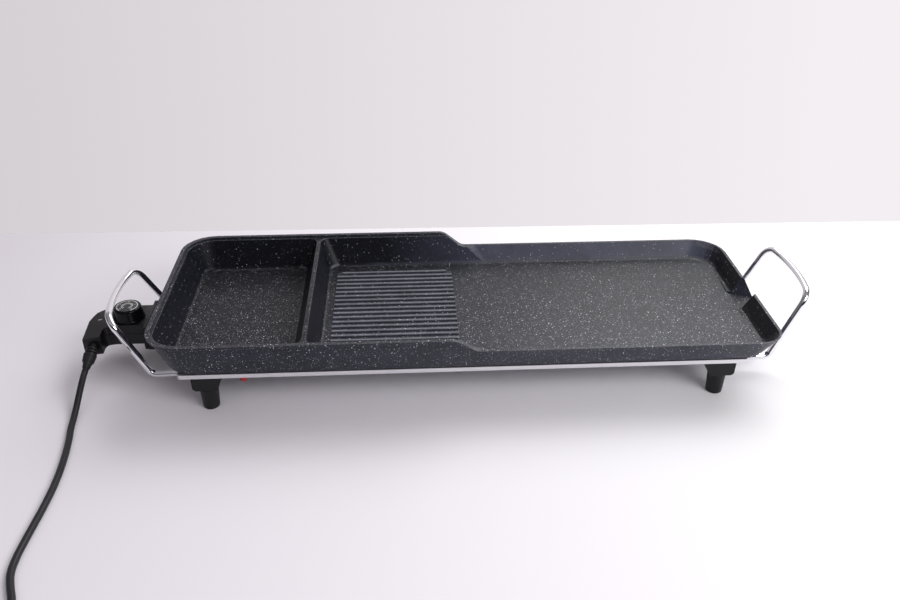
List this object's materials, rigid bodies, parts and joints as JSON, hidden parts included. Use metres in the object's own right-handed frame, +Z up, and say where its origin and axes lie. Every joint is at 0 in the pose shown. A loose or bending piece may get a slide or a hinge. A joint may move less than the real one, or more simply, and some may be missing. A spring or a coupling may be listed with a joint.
{
  "type": "electric grill",
  "caption": "Long countertop electric grill with a pot well, ribbed griddle, flat plate with spout, wire handles and a pull-out thermostat probe on a lead.",
  "frame": {"origin": "on the table under the middle of the grill, measured without the lead, its coil and its plug", "axes": "+X to the right along the pan's length, towards the spout; +Y to the back; +Z up"},
  "size_m": [0.817, 0.6479, 0.1004],
  "materials": {
    "coated_casting": "speckled non-stick coating on cast aluminium",
    "element_sheath": "matt grey tube sheath",
    "plated_steel": "zinc plate",
    "tray_steel": "satin sheet",
    "foot_plastic": "fine matt texture",
    "chrome_wire": "polished plate",
    "black_moulding": "satin",
    "knob_plastic": "gloss",
    "dial_print": "printed dial",
    "red_lens": "clear red",
    "contact_brass": "bright",
    "black_rubber": "satin"
  },
  "bodies": {
    "grill": {"pan_body": "coated_casting", "heating_element": "element_sheath", "terminal_pin_front": "plated_steel", "terminal_pin_rear": "plated_steel", "sensor_sleeve": "plated_steel", "socket_guard": "black_moulding", "guard_screw_front": "plated_steel", "guard_screw_rear": "plated_steel", "base_tray": "tray_steel", "foot_front_left": "foot_plastic", "foot_screw_front_left": "plated_steel", "foot_rear_left": "foot_plastic", "foot_screw_rear_left": "plated_steel", "foot_front_right": "foot_plastic", "foot_screw_front_right": "plated_steel", "foot_rear_right": "foot_plastic", "foot_screw_rear_right": "plated_steel", "handle_right": "chrome_wire", "handle_clamp_right": "tray_steel", "clamp_screw_front_right": "plated_steel", "clamp_screw_rear_right": "plated_steel", "handle_left": "chrome_wire", "handle_clamp_left": "tray_steel", "clamp_screw_rear_left": "plated_steel", "clamp_screw_front_left": "plated_steel", "pilot_lamp_lens": "red_lens"},
    "probe": {"probe_housing_top": "black_moulding", "probe_housing_bottom": "black_moulding", "thermostat_switch": "plated_steel", "sensing_rod": "plated_steel", "contact_sleeve_front": "contact_brass", "contact_sleeve_rear": "contact_brass", "probe_screw_rear": "plated_steel", "probe_screw_front": "plated_steel", "strain_relief": "black_rubber", "power_cord": "black_rubber", "cord_coil": "black_rubber", "plug_body": "black_rubber", "plug_pin_left": "contact_brass", "plug_pin_right": "contact_brass"},
    "knob": {"thermostat_knob": "knob_plastic", "knob_dial": "dial_print", "knob_shaft": "plated_steel"}
  },
  "joints": [
    {"name": "probe_pull", "type": "slide", "parent": "grill", "child": "probe", "axis": [-1, 0, 0], "range_m": [0, 0.07]},
    {"name": "knob_turn", "type": "hinge", "parent": "probe", "child": "knob", "pos_m": [-0.3632, -0.004, 0.0573], "axis": [0, 0, 1], "range_deg": [0, 300]}
  ]
}
